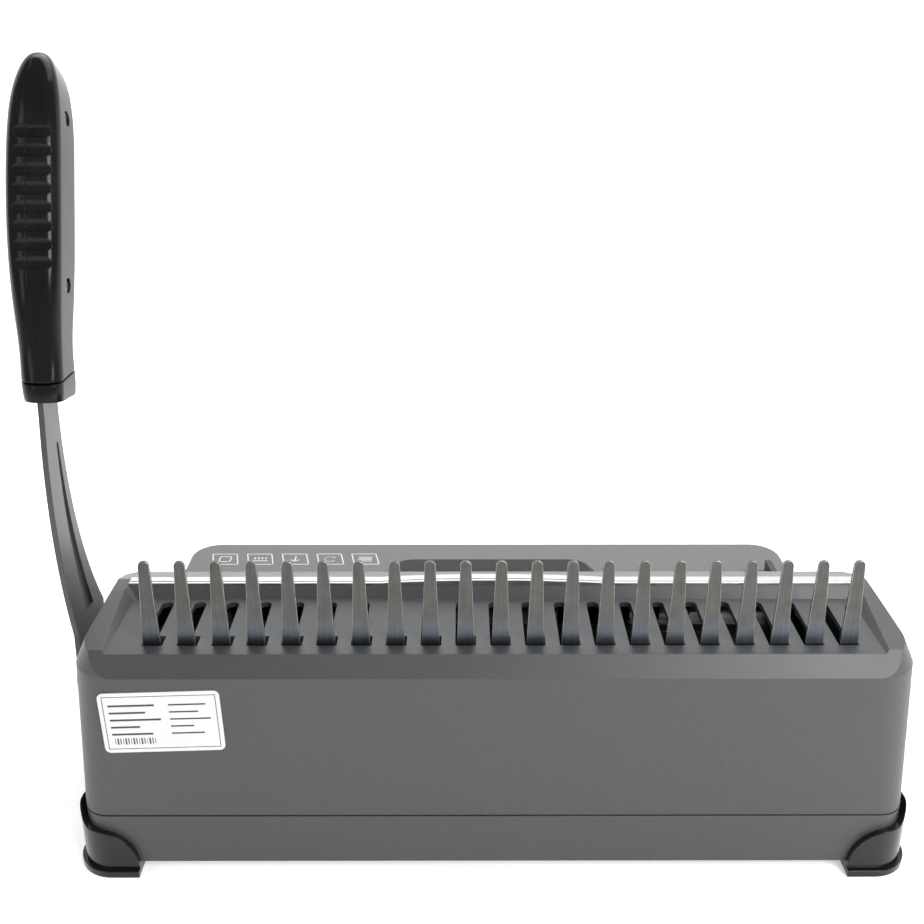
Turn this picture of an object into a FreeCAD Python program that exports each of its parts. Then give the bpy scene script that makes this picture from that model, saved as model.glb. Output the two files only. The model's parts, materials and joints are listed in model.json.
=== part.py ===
import FreeCAD, Part
import math
import os
import re
from types import SimpleNamespace

import Sketcher

Vector = FreeCAD.Vector

os.makedirs("parts", exist_ok=True)
doc = FreeCAD.newDocument("comb_binding_machine")
sheet = doc.addObject("Spreadsheet::Sheet", "sizes")

# Driving sizes in millimetres, angles in degrees. The rear is +Y, the user's right is +X,
# the table top that the machine stands on is height 0.
SIZES = [
    # casing
    ("body_width", "351"),
    ("body_depth", "192"),
    ("corner_round", "19"),
    ("base_corner", "12"),
    ("wall", "2.5"),
    ("half_width", "=body_width / 2"),
    ("half_depth", "=body_depth / 2"),
    ("foot_gap", "5"),
    ("boot_grow", "2.8"),
    ("boot_flange", "4.5"),
    ("boot_reach", "26.5"),
    ("base_top", "28.5"),
    ("base_inset", "0"),
    ("base_half_x", "=half_width - base_inset"),
    ("base_half_y", "=half_depth - base_inset"),
    ("floor_top", "=foot_gap + wall"),
    ("seam", "0.8"),
    ("band_low", "96"),
    ("band_top", "105.5"),
    ("band_half_x", "=half_width - 2"),
    ("roof_half_x", "=half_width - 7"),
    ("roof_height", "108.8"),
    ("rear_rim_y", "89"),
    ("roof_front_y", "33.5"),
    ("brow_y", "-14"),
    ("brow_height", "88"),
    ("cover_front_y", "-17"),
    # comb deck
    ("deck_height", "104"),
    ("deck_half_x", "158"),
    ("deck_front_y", "44"),
    ("deck_slope", "4"),
    ("comb_pitch", "14.2875"),
    ("comb_count", "21"),
    ("comb_shift", "-2.3"),
    ("finger_line_y", "82"),
    ("finger_height", "38"),
    ("finger_wide", "7.2"),
    ("finger_tip_wide", "4.4"),
    ("finger_thick", "1.2"),
    ("slot_foot_wide", "8.4"),
    ("slot_foot_deep", "7.6"),
    ("slot_foot_rear_y", "83.2"),
    ("slot_near_x", "-1.0"),
    ("slot_far_x", "4.2"),
    ("slot_front_y", "46.3"),
    # paper table and throat
    ("table_height", "64"),
    ("table_half_x", "163"),
    ("table_round", "15"),
    ("throat_high", "4.6"),
    ("tool_plate", "4"),
    ("tool_front_y", "-14"),
    ("tool_rear_y", "11"),
    ("tool_half_x", "148.6"),
    ("ear_rear_y", "-8.5"),
    ("die_low", "=table_height - tool_plate"),
    ("guide_low", "=table_height + throat_high"),
    ("guide_top", "=guide_low + tool_plate"),
    ("paper_stop_y", "7"),
    ("spacer_in_x", "152"),
    # punches
    ("punch_line_y", "4"),
    ("punch_wide", "8"),
    ("punch_deep", "3"),
    ("punch_gap", "0.1"),
    ("punch_travel", "11"),
    ("punch_low", "=guide_low + 0.6"),
    ("punch_bar_low", "=guide_top + punch_travel + 0.8"),
    ("punch_bar_high", "4.6"),
    ("punch_bar_deep", "14"),
    # shaft, cranks and lever
    ("shaft_y", "10"),
    ("shaft_height", "44"),
    ("shaft_radius", "5"),
    ("running_gap", "0.05"),
    ("bush_radius", "8"),
    ("lever_swing", "75"),
    ("pin_radius", "2"),
    ("pin_play", "0.5"),
    ("hook_crank", "20.5"),
    ("punch_crank", "9.03"),
    ("crank_hub", "12.5"),
    ("crank_lobe", "5"),
    ("bracket_in_x", "149.3"),
    ("bracket_thick", "2.5"),
    ("crank_in_x", "153"),
    ("crank_thick", "4"),
    ("hook_arm_in_x", "158.5"),
    ("hook_arm_thick", "2.5"),
    ("side_plate_in_x", "164.5"),
    ("side_plate_thick", "3"),
    ("side_plate_rear_y", "78"),
    ("arm_in_x", "191.5"),
    ("arm_thick", "2.5"),
    ("arm_wide", "17.6"),
    ("lever_arc", "380"),
    ("lever_arc_y", "-356"),
    ("lever_arc_z", "140"),
    ("grip_half_x", "12"),
    ("grip_inwards", "0.9"),
    ("grip_screw_radius", "2.9"),
    ("grip_screw_head", "1.2"),
    ("hub_boss_radius", "11"),
    ("bolt_head_radius", "8.5"),
    ("grip_top", "328"),
    ("hub_radius", "18"),
    # hooks
    ("hook_plate_low", "88"),
    ("hook_plate_thick", "2"),
    ("hook_front_y", "73.5"),
    ("hook_rear_y", "80.6"),
    ("hook_thick", "1.4"),
    ("hook_top", "120"),
    ("hook_rail_low", "76"),
    ("rail_in_x", "159.2"),
    ("rail_front_y", "29"),
    ("rail_long", "44"),
    ("rail_high", "3.2"),
    # tray
    ("tray_half_x", "118"),
    ("tray_low", "8.2"),
    ("tray_top", "27"),
    ("tray_rear_y", "16"),
    ("tray_gap", "0.6"),
    ("tray_wall", "2"),
    ("tray_pull_half_x", "30"),
    ("tray_pull_out", "4.4"),
    # edge guide
    ("guide_left_x", "-150"),
    ("guide_wide", "14"),
    ("guide_front_y", "-52"),
    ("guide_rear_y", "-24"),
    ("guide_slot_right_x", "-70"),
    ("guide_slot_front_y", "-40"),
    ("guide_slot_rear_y", "-36"),
    ("guide_lift", "0.3"),
    # the origin sits under the middle of the whole machine, lever included
    ("origin_shift_x", "-11.96"),
    ("origin_shift_y", "0"),
]


def fill_sheet():
    for line, (alias, text) in enumerate(SIZES, start=1):
        sheet.set(f"A{line}", alias)
        sheet.set(f"B{line}", text)
        sheet.setAlias(f"B{line}", alias)
    doc.recompute()
    return SimpleNamespace(**{alias: float(sheet.get(alias)) for alias, _ in SIZES})


d = fill_sheet()
ALIASES = {alias for alias, _ in SIZES}
finished = []


def bound(expression):
    """The expression with each size's name pointed at the sheet."""
    return re.sub(
        r"[a-z_]+",
        lambda word: "sizes." + word[0] if word[0] in ALIASES else word[0],
        str(expression),
    )


def bind(thing, name, expression):
    thing.setExpression(name, bound(expression))


def finish(thing, label):
    """Names a sub-part and moves it from the casing's centre to the shared origin."""
    thing.Label = label
    already = dict(thing.ExpressionEngine)
    for axis in "xy":
        key = "Placement.Base." + axis
        shift = bound("origin_shift_" + axis)
        own = already.get(key) or already.get("." + key)
        thing.setExpression(key, f"{own} + {shift}" if own else shift)
    finished.append((thing, label))
    return thing


# ---------------------------------------------------------------- PartDesign helpers


def new_body(name):
    return doc.addObject("PartDesign::Body", name + "_body")


def new_sketch(body, plane, name, offset="0"):
    sketch = body.newObject("Sketcher::SketchObject", name)
    planes = {feature.Role: feature for feature in body.Origin.OriginFeatures}
    sketch.AttachmentSupport = [(planes[plane], "")]
    sketch.MapMode = "FlatFace"
    bind(sketch, ".AttachmentOffset.Base.z", offset)
    return sketch


def draw_polygon(sketch, points):
    """A closed outline whose every corner is bound to the sheet."""
    first = sketch.GeometryCount
    count = len(points)
    turn = 2 * math.pi / count
    start = [Vector(math.cos(turn * i), math.sin(turn * i), 0) for i in range(count)]
    for i in range(count):
        sketch.addGeometry(Part.LineSegment(start[i], start[(i + 1) % count]), False)
    for i in range(count):
        joined = Sketcher.Constraint("Coincident", first + i, 2, first + (i + 1) % count, 1)
        sketch.addConstraint(joined)
    for i, (across, up) in enumerate(points):
        for kind, expression in (("DistanceX", across), ("DistanceY", up)):
            size = Sketcher.Constraint(kind, -1, 1, first + i, 1, 1.0)
            number = sketch.addConstraint(size)
            sketch.setExpression(f"Constraints[{number}]", bound(expression))
    return sketch


def rectangle(left, low, right, high):
    return [(left, low), (right, low), (right, high), (left, high)]


def draw_circle(sketch, across, up, radius):
    number = sketch.addGeometry(Part.Circle(Vector(1, 1, 0), Vector(0, 0, 1), 1), False)
    for kind, expression in (("DistanceX", across), ("DistanceY", up)):
        size = sketch.addConstraint(Sketcher.Constraint(kind, -1, 1, number, 3, 1.0))
        sketch.setExpression(f"Constraints[{size}]", bound(expression))
    size = sketch.addConstraint(Sketcher.Constraint("Radius", number, 1.0))
    sketch.setExpression(f"Constraints[{size}]", bound(radius))
    return sketch


def add_pad(body, name, sketch, length):
    pad = body.newObject("PartDesign::Pad", name)
    pad.Profile = sketch
    bind(pad, "Length", length)
    sketch.Visibility = False
    return pad


def cut_through(body, name, sketch):
    pocket = body.newObject("PartDesign::Pocket", name)
    pocket.Profile = sketch
    pocket.Type = "ThroughAll"
    pocket.SideType = "Symmetric"
    sketch.Visibility = False
    return pocket


def repeat_along(body, name, feature, sketch, length, count):
    row = body.newObject("PartDesign::LinearPattern", name)
    row.Originals = [feature]
    row.Direction = (sketch, ["H_Axis"])
    bind(row, "Length", length)
    bind(row, "Occurrences", count)
    body.Tip = row
    return row


def soften(body, name, pick, radius):
    """Rounds the tip's edges that pick() accepts."""
    doc.recompute()
    base = body.Tip
    names = [f"Edge{i}" for i, edge in enumerate(base.Shape.Edges, 1) if pick(edge)]
    fillet = body.newObject("PartDesign::Fillet", name)
    fillet.Base = (base, names)
    bind(fillet, "Radius", radius)
    doc.recompute()
    return fillet


def upright(edge):
    ends = [vertex.Point for vertex in edge.Vertexes]
    return len(ends) == 2 and abs(ends[0].x - ends[1].x) + abs(ends[0].y - ends[1].y) < 0.01


# ---------------------------------------------------------------- Part helpers


def cylinder_x(name, radius, x_from, length, y, z):
    """A round bar along X, bound to the sheet."""
    bar = doc.addObject("Part::Cylinder", name)
    bind(bar, "Radius", radius)
    bind(bar, "Height", length)
    bar.Placement.Rotation = FreeCAD.Rotation(Vector(0, 1, 0), 90)
    bind(bar, "Placement.Base.x", x_from)
    bind(bar, "Placement.Base.y", y)
    bind(bar, "Placement.Base.z", z)
    return bar


def block(name, x_from, y_from, z_from, x_size, y_size, z_size):
    """A box bound to the sheet."""
    box = doc.addObject("Part::Box", name)
    for key, expression in zip(("Length", "Width", "Height"), (x_size, y_size, z_size)):
        bind(box, key, expression)
    for key, expression in zip("xyz", (x_from, y_from, z_from)):
        bind(box, "Placement.Base." + key, expression)
    return box


def grouped(name, pieces):
    group = doc.addObject("Part::Compound", name)
    group.Links = pieces
    return group


def cut_from(name, base, tool):
    result = doc.addObject("Part::Cut", name)
    result.Base = base
    result.Tool = tool
    return result


def from_shape(name, shape):
    """A feature for a shape; a turned shape is wrapped so that its own placement stays."""
    feature = doc.addObject("Part::Feature", name + "_shape")
    feature.Shape = shape if shape.Placement.isIdentity() else Part.makeCompound([shape])
    return feature


def box_shape(x0, x1, y0, y1, z0, z1):
    return Part.makeBox(x1 - x0, y1 - y0, z1 - z0, Vector(x0, y0, z0))


def rod_x(radius, x0, x1, y, z):
    return Part.makeCylinder(radius, x1 - x0, Vector(x0, y, z), Vector(1, 0, 0))


def rod_z(radius, x, y, z0, z1):
    return Part.makeCylinder(radius, z1 - z0, Vector(x, y, z0), Vector(0, 0, 1))


def prism_x(points, x0, x1):
    """A solid from a (y, z) outline, between two X stations."""
    corners = [Vector(x0, y, z) for y, z in points]
    wire = Part.makePolygon(corners + corners[:1])
    return Part.Face(wire).extrude(Vector(x1 - x0, 0, 0))


def prism_y(points, y0, y1):
    """A solid from an (x, z) outline, between two Y stations."""
    corners = [Vector(x, y0, z) for x, z in points]
    wire = Part.makePolygon(corners + corners[:1])
    return Part.Face(wire).extrude(Vector(0, y1 - y0, 0))


def corner_wire(corners):
    """A closed outline from (corner, radius, way back, way ahead); radius 0 stays square."""
    edges = []
    first = None
    last = None
    for corner, radius, back, ahead in corners:
        begin = corner + back * radius
        end = corner + ahead * radius
        if last is not None:
            edges.append(Part.LineSegment(last, begin).toShape())
        if radius > 0:
            middle = corner + (back + ahead) * (radius * (1 - math.sqrt(0.5)))
            edges.append(Part.Arc(begin, middle, end).toShape())
        if first is None:
            first = begin
        last = end
    edges.append(Part.LineSegment(last, first).toShape())
    return Part.Wire(edges)


def rounded_outline(x0, x1, y0, y1, front_round, rear_round, z):
    """A level rectangle with arcs at its corners."""
    corners = [
        (Vector(x0, y0, z), front_round, Vector(0, 1, 0), Vector(1, 0, 0)),
        (Vector(x1, y0, z), front_round, Vector(-1, 0, 0), Vector(0, 1, 0)),
        (Vector(x1, y1, z), rear_round, Vector(0, -1, 0), Vector(-1, 0, 0)),
        (Vector(x0, y1, z), rear_round, Vector(1, 0, 0), Vector(0, -1, 0)),
    ]
    return corner_wire(corners)


def loft(outlines):
    return Part.makeLoft(outlines, True, True)


def finger_xs(shift=0.0):
    """The X of each of the 21 stations; the comb row stands a little off the middle."""
    middle = (d.comb_count - 1) / 2
    return [shift + (i - middle) * d.comb_pitch for i in range(int(d.comb_count))]


# ---------------------------------------------------------------- casing


def make_base_pan():
    body = new_body("base_pan")
    outline = new_sketch(body, "XY_Plane", "base_outline", "foot_gap")
    draw_polygon(outline, rectangle("-base_half_x", "-base_half_y", "base_half_x", "base_half_y"))
    add_pad(body, "base_block", outline, "base_top - foot_gap")
    soften(body, "base_corners", upright, "base_corner")
    top_faces = [
        f"Face{i}"
        for i, face in enumerate(body.Tip.Shape.Faces, 1)
        if face.BoundBox.ZMin > d.base_top - 0.01
    ]
    hollow = body.newObject("PartDesign::Thickness", "base_hollow")
    hollow.Base = (doc.getObject("base_corners"), top_faces)
    hollow.Reversed = True
    bind(hollow, "Value", "wall")
    mouth = new_sketch(body, "XY_Plane", "tray_mouth", "base_top")
    side = "(tray_half_x + tray_gap)"
    draw_polygon(
        mouth, rectangle(f"-{side}", "-base_half_y - 1", side, "-base_half_y + wall + 1")
    )
    opening = body.newObject("PartDesign::Pocket", "tray_mouth_cut")
    opening.Profile = mouth
    bind(opening, "Length", "base_top - floor_top")
    finish(body, "base_pan")


def slot_tool():
    """The 21 openings in the comb deck: a foot opening and a narrow slot in front of each."""
    z0 = d.deck_height - 8
    z1 = d.deck_height + 4
    cuts = []
    half = d.slot_foot_wide / 2
    near_y = d.slot_foot_rear_y - d.slot_foot_deep
    radius = (d.slot_far_x - d.slot_near_x) / 2
    for x in finger_xs(d.comb_shift):
        foot = box_shape(x - half, x + half, near_y, near_y + d.slot_foot_deep, z0, z1)
        left = x + d.slot_near_x
        right = x + d.slot_far_x
        run = box_shape(left, right, d.slot_front_y + radius, near_y + 1, z0, z1)
        end = rod_z(radius, left + radius, d.slot_front_y + radius, z0, z1)
        cuts.append(foot.fuse([run, end]))
    return Part.makeCompound(cuts)


def cover_block(inset, low, y_rear, y_front):
    """The casing's tapered block, rounded at its rear corners."""
    stations = [
        (low, d.half_width, d.base_corner + d.base_inset),
        (d.band_low - inset / 3, d.band_half_x, d.corner_round),
        (d.roof_height + 2, d.roof_half_x - 2, d.corner_round),
    ]
    outlines = []
    for z, half, radius in stations:
        reach = half - inset
        outlines.append(rounded_outline(-reach, reach, y_front, y_rear, 0, radius - inset, z))
    return loft(outlines)


def make_top_cover():
    low = d.base_top + d.seam
    outside = prism_x(
        [
            (d.half_depth + 10, low - 5),
            (d.half_depth + 10, d.band_low),
            (d.half_depth, d.band_low),
            (d.rear_rim_y, d.band_top),
            (d.deck_front_y, d.roof_height),
            (d.roof_front_y, d.roof_height),
            (d.brow_y, d.brow_height),
            (d.cover_front_y, d.brow_height - 6),
            (d.cover_front_y, low - 5),
        ],
        -d.half_width - 5,
        d.half_width + 5,
    )
    outer = outside.common(cover_block(0, low, d.half_depth, d.cover_front_y - 5))
    under_deck = d.deck_height - d.wall
    inside = prism_x(
        [
            (d.half_depth + 10, low - 10),
            (d.half_depth + 10, d.band_low - 1.5),
            (d.half_depth - d.wall, d.band_low - 1.5),
            (d.rear_rim_y - 1, under_deck),
            (d.deck_front_y - d.wall, under_deck),
            (d.deck_front_y - d.wall, d.roof_height - d.wall),
            (d.roof_front_y + 0.7, d.roof_height - d.wall),
            (d.brow_y + 2.2, d.brow_height - 1.8),
            (d.cover_front_y + d.wall, d.brow_height - 7),
            (d.cover_front_y + d.wall, d.guide_low),
            (d.cover_front_y - 10, d.guide_low),
            (d.cover_front_y - 10, low - 10),
        ],
        -d.half_width - 5,
        d.half_width + 5,
    )
    inner = inside.common(cover_block(d.wall, low - 1, d.half_depth - d.wall, d.cover_front_y - 20))
    deck = loft(
        [
            rounded_outline(
                -d.deck_half_x, d.deck_half_x, d.deck_front_y, d.half_depth + 20, 2, 0, d.deck_height
            ),
            rounded_outline(
                -d.deck_half_x - 5,
                d.deck_half_x + 5,
                d.deck_front_y - d.deck_slope,
                d.half_depth + 20,
                3,
                0,
                d.roof_height + 1,
            ),
        ]
    )
    shaft_hole = rod_x(d.shaft_radius + 1.5, 0, d.half_width + 5, d.shaft_y, d.shaft_height)
    shell = outer.cut(inner).cut(deck).cut(slot_tool()).cut(shaft_hole)
    ridge = [
        edge
        for edge in shell.Edges
        if abs(edge.BoundBox.YMin - d.roof_front_y) < 0.01
        and abs(edge.BoundBox.YMax - d.roof_front_y) < 0.01
        and abs(edge.BoundBox.ZMin - d.roof_height) < 0.01
    ]
    if ridge:
        shell = shell.makeFillet(1.5, ridge)
    finish(from_shape("top_cover", shell), "top_cover")


def make_trim_strip():
    """The bright strip that covers the narrow roof, with a raised middle and a fine groove."""
    y0 = d.roof_front_y + 0.6
    y1 = y0 + 6
    half = 161
    low = d.roof_height
    strip = box_shape(-half, half, y0, y1, low, low + 1.2)
    crown_radius = 900
    crown_top = low + 2.6
    crown = Part.makeCylinder(
        crown_radius, y1 - y0, Vector(0, y0, crown_top - crown_radius), Vector(0, 1, 0)
    )
    middle = crown.common(box_shape(-48, 48, y0, y1, low, low + 4))
    groove = box_shape(-half - 1, half + 1, y1 - 2.2, y1 - 1.5, low + 0.6, low + 4)
    strip = strip.fuse(middle).cut(groove).removeSplitter()
    finish(from_shape("roof_trim_strip", strip), "roof_trim_strip")


def make_paper_table():
    low = d.base_top + d.seam
    front = -d.half_depth
    rear = d.cover_front_y - d.seam

    def shape(inset, z_low, z_high, y_rear):
        low_half = d.half_width - 1 - inset
        high_half = d.table_half_x - inset
        radius = d.table_round - inset
        return loft(
            [
                rounded_outline(-low_half, low_half, front + inset, y_rear, radius, 0, z_low),
                rounded_outline(-high_half, high_half, front + inset, y_rear, radius, 0, z_high),
            ]
        )

    outer = shape(0, low, d.table_height, rear)
    rim = [
        edge
        for edge in outer.Edges
        if edge.BoundBox.ZMin > d.table_height - 0.01 and edge.BoundBox.YMin < rear - 1
    ]
    outer = outer.makeFillet(2, rim)
    shell = outer.cut(shape(d.wall, low - 1, d.table_height - d.wall, rear + 5))
    lip = box_shape(
        -162, 162, rear - 1, d.tool_front_y - 0.3, d.table_height - d.wall, d.table_height
    )
    guide_slot = box_shape(
        d.guide_left_x,
        d.guide_slot_right_x,
        d.guide_slot_front_y,
        d.guide_slot_rear_y,
        d.table_height - 5,
        d.table_height + 1,
    )
    shell = shell.fuse(lip).cut(guide_slot).removeSplitter()
    finish(from_shape("paper_table", shell), "paper_table")


def make_table_grip():
    """A low moulded bar let into the middle of the paper table, rounded at its front corners."""
    half = 56
    front = -73
    rear = -44
    top = d.table_height + 3
    slope = 3
    left = d.comb_shift - half
    right = d.comb_shift + half
    foot = rounded_outline(left, right, front, rear, 14, 0, d.table_height)
    crest = rounded_outline(left + slope, right - slope, front + slope, rear, 11, 0, top)
    bar = loft([foot, crest])
    edges = [edge for edge in bar.Edges if edge.BoundBox.ZMin > top - 0.01]
    bar = bar.makeFillet(1.2, edges)
    finish(from_shape("table_grip_bar", bar), "table_grip_bar")


BOOT_PEAK = 29
BOOT_DIP = 22
BOOT_END = 4.5
BOOT_SIDE_REACH = 32


def boot_rear_height(distance):
    """The boot's upper edge seen from behind: a dip beside the corner, then a convex fall."""
    dip_at = 5.5
    fall_at = 9.5
    if distance <= dip_at:
        return BOOT_DIP + (BOOT_PEAK - BOOT_DIP) * (1 - distance / dip_at) ** 2
    if distance <= fall_at:
        return BOOT_DIP
    share = (distance - fall_at) / (d.boot_reach - fall_at)
    return BOOT_END + (BOOT_DIP - BOOT_END) * math.sqrt(max(0.0, 1 - share**2))


def boot_side_height(distance):
    """The boot's upper edge seen from the side: level past the corner, then a convex fall."""
    fall_at = 16
    if distance <= fall_at:
        return BOOT_PEAK
    share = (distance - fall_at) / (BOOT_SIDE_REACH - fall_at)
    return BOOT_END + (BOOT_PEAK - BOOT_END) * math.sqrt(max(0.0, 1 - share**2))


def make_boots():
    """Soft corner boots: each wraps a corner of the base and carries the machine."""
    gap = 0.15
    peak = BOOT_PEAK

    def solid(grow, z0, z1):
        outline = rounded_outline(
            -d.base_half_x - grow,
            d.base_half_x + grow,
            -d.base_half_y - grow,
            d.base_half_y + grow,
            d.base_corner + grow,
            d.base_corner + grow,
            z0,
        )
        return Part.Face(outline).extrude(Vector(0, 0, z1 - z0))

    groove = solid(d.boot_grow + 1, 3, 4.2).cut(solid(d.boot_grow - 1, 3, 4.2))
    ring = solid(d.boot_grow, 0.8, peak).cut(groove)
    ring = ring.cut(solid(gap, d.foot_gap, d.base_top + 0.1))
    ring = ring.cut(solid(d.base_inset + 0.3, d.base_top, peak + 1))
    ring = ring.fuse(solid(d.boot_flange, 0, 3)).removeSplitter()

    def profile(limit, reach, height_at):
        """The boot's side view, as (across, height), for a corner that ends at limit."""
        steps = 16
        edge = []
        for i in range(steps + 1):
            distance = reach * math.cos(math.pi / 2 * i / steps)
            edge.append((limit - distance, height_at(distance)))
        beyond = limit + 5
        return [(limit - reach, -1)] + edge + [(beyond, peak), (beyond, -1)]

    outer_x = d.base_half_x + d.boot_grow
    outer_y = d.base_half_y + d.boot_grow
    across = profile(outer_x, d.boot_reach, boot_rear_height)
    along = profile(outer_y, BOOT_SIDE_REACH, boot_side_height)
    corner_x = prism_y(across, -outer_y - 10, outer_y + 10)
    corner_y = prism_x(along, -outer_x - 10, outer_x + 10)
    mirror_x = corner_x.mirror(Vector(0, 0, 0), Vector(1, 0, 0))
    mirror_y = corner_y.mirror(Vector(0, 0, 0), Vector(0, 1, 0))
    for name, side, end in (
        ("boot_rear_right", corner_x, corner_y),
        ("boot_rear_left", mirror_x, corner_y),
        ("boot_front_right", corner_x, mirror_y),
        ("boot_front_left", mirror_x, mirror_y),
    ):
        boot = ring.common(side).common(end)
        finish(from_shape(name, boot), name)


def make_rating_plate():
    """A thin plain plate on the rear wall, a little out of level."""
    plate = box_shape(-24.8, 24.8, 0, 0.4, -14.2, 14.2)
    corners = [edge for edge in plate.Edges if abs(edge.BoundBox.YLength - 0.4) < 0.01]
    plate = plate.makeFillet(2.5, corners)
    plate.rotate(Vector(0, 0, 0), Vector(0, 1, 0), 1.8)
    plate.translate(Vector(136, d.half_depth, 76))
    finish(from_shape("rating_plate", plate), "rating_plate")


# ---------------------------------------------------------------- frame and punching tools


def make_side_plate(name, sign):
    body = new_body(name)
    inner = "side_plate_in_x" if sign > 0 else "-side_plate_in_x - side_plate_thick"
    outline = new_sketch(body, "YZ_Plane", name + "_outline", inner)
    points = [
        ("tool_front_y", "floor_top"),
        ("side_plate_rear_y", "floor_top"),
        ("side_plate_rear_y", "band_low - 3"),
        ("side_plate_rear_y - 14", "band_low - 3"),
        ("side_plate_rear_y - 30", "guide_top + 5"),
        ("tool_front_y", "guide_top + 5"),
    ]
    add_pad(body, name + "_web", draw_polygon(outline, points), "side_plate_thick")
    flange = new_sketch(body, "XY_Plane", name + "_flange_outline", "floor_top")
    near = "side_plate_in_x - 14" if sign > 0 else "-side_plate_in_x - 1"
    far = "side_plate_in_x + 1" if sign > 0 else "-side_plate_in_x + 14"
    draw_polygon(flange, rectangle(near, "20", far, "74"))
    add_pad(body, name + "_flange", flange, "side_plate_thick - 1")
    bore = new_sketch(body, "YZ_Plane", name + "_bore")
    draw_circle(bore, "shaft_y", "shaft_height", "bush_radius + 0.05")
    cut_through(body, name + "_bore_cut", bore)
    finish(body, name)


def make_tool_plate(name, low):
    """A punching plate: wide at the front where it is held, with 21 rectangular holes."""
    body = new_body(name)
    outline = new_sketch(body, "XY_Plane", name + "_outline", low)
    points = [
        ("-side_plate_in_x", "tool_front_y"),
        ("side_plate_in_x", "tool_front_y"),
        ("side_plate_in_x", "ear_rear_y"),
        ("tool_half_x", "ear_rear_y"),
        ("tool_half_x", "tool_rear_y"),
        ("-tool_half_x", "tool_rear_y"),
        ("-tool_half_x", "ear_rear_y"),
        ("-side_plate_in_x", "ear_rear_y"),
    ]
    add_pad(body, name + "_pad", draw_polygon(outline, points), "tool_plate")
    hole = new_sketch(body, "XY_Plane", name + "_hole", low)
    first = "-comb_pitch * (comb_count - 1) / 2"
    side = "punch_wide / 2 + punch_gap"
    deep = "punch_deep / 2 + punch_gap"
    draw_polygon(
        hole,
        rectangle(
            f"{first} - ({side})",
            f"punch_line_y - ({deep})",
            f"{first} + {side}",
            f"punch_line_y + {deep}",
        ),
    )
    pocket = cut_through(body, name + "_hole_cut", hole)
    length = "comb_pitch * (comb_count - 1)"
    repeat_along(body, name + "_holes", pocket, hole, length, "comb_count")
    finish(body, name)


def make_throat_parts():
    length = "tool_half_x * 2"
    stop = block(
        "paper_stop_bar",
        "-tool_half_x",
        "paper_stop_y",
        "table_height",
        length,
        "tool_rear_y - paper_stop_y",
        "throat_high",
    )
    finish(stop, "paper_stop")
    ear = "side_plate_in_x - spacer_in_x"
    depth = "ear_rear_y - tool_front_y"
    right = block(
        "ear_right", "spacer_in_x", "tool_front_y", "table_height", ear, depth, "throat_high"
    )
    left = block(
        "ear_left", "-side_plate_in_x", "tool_front_y", "table_height", ear, depth, "throat_high"
    )
    finish(grouped("throat_spacer_pair", [left, right]), "throat_spacers")


def make_punches():
    low = d.punch_low
    high = d.punch_bar_low
    solids = []
    for x in finger_xs():
        solids.append(
            box_shape(
                x - d.punch_wide / 2,
                x + d.punch_wide / 2,
                d.punch_line_y - d.punch_deep / 2,
                d.punch_line_y + d.punch_deep / 2,
                low,
                high,
            )
        )
    finish(from_shape("punches", Part.makeCompound(solids)), "punches")


def make_punch_bar():
    """The bar that presses all punches at once, with a forked bracket at each end."""
    body = new_body("punch_bar")
    outer = "(bracket_in_x + bracket_thick)"
    outline = new_sketch(body, "XY_Plane", "punch_bar_outline", "punch_bar_low")
    half = "punch_bar_deep / 2"
    draw_polygon(
        outline,
        rectangle(
            f"-{outer}", f"punch_line_y - {half}", outer, f"punch_line_y + {half}"
        ),
    )
    add_pad(body, "punch_bar_pad", outline, "punch_bar_high")
    # The fork's slot is centred on the crank pin's height at rest.
    pin_z = "(shaft_height + punch_crank * sin(lever_swing / 2 * 1 deg))"
    slot = "pin_radius + pin_play"
    points = [
        ("-5", "punch_bar_low + 1"),
        ("-5", f"{pin_z} - ({slot}) - 3.5"),
        ("4.2", f"{pin_z} - ({slot}) - 3.5"),
        ("4.2", f"{pin_z} - ({slot})"),
        ("-1.6", f"{pin_z} - ({slot})"),
        ("-1.6", f"{pin_z} + {slot}"),
        ("4.2", f"{pin_z} + {slot}"),
        ("4.2", "punch_bar_low + 1"),
    ]
    for name, start in (("right", "bracket_in_x"), ("left", f"-{outer}")):
        side = new_sketch(body, "YZ_Plane", f"punch_bracket_{name}", start)
        add_pad(body, f"punch_bracket_{name}_pad", draw_polygon(side, points), "bracket_thick")
    finish(body, "punch_bar")


# ---------------------------------------------------------------- comb fingers and hooks


def make_comb_plate():
    """The fixed comb: a rail under the deck with 21 upright fingers."""
    low = d.deck_height - 8
    y0 = d.finger_line_y - d.finger_thick / 2
    rail = box_shape(-156, 156, y0, y0 + 8.5, low, low + 2)
    half = d.finger_wide / 2
    tip = d.finger_tip_wide / 2
    top = d.deck_height + d.finger_height
    fingers = []
    for x in finger_xs(d.comb_shift):
        points = [
            Vector(x - half, y0, low),
            Vector(x + half, y0, low),
            Vector(x + half, y0, d.deck_height + 2),
            Vector(x + tip, y0, top - tip),
        ]
        left_tip = Vector(x - tip, y0, top - tip)
        left_foot = Vector(x - half, y0, d.deck_height + 2)
        edges = [Part.LineSegment(a, b).toShape() for a, b in zip(points, points[1:])]
        edges.append(Part.Arc(points[-1], Vector(x, y0, top), left_tip).toShape())
        edges.append(Part.LineSegment(left_tip, left_foot).toShape())
        edges.append(Part.LineSegment(left_foot, points[0]).toShape())
        fingers.append(Part.Face(Part.Wire(edges)).extrude(Vector(0, d.finger_thick, 0)))
    plate = rail.fuse(fingers).removeSplitter()
    finish(from_shape("comb_plate", plate), "comb_plate")
    stud_x = 5.5 * d.comb_pitch
    studs = [
        rod_z(2.4, x, d.finger_line_y + 3.2, low + 2, d.deck_height - d.wall)
        for x in (-152, d.comb_shift - stud_x, d.comb_shift + stud_x, 152)
    ]
    finish(from_shape("comb_plate_spacers", Part.makeCompound(studs)), "comb_plate_spacers")


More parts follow.
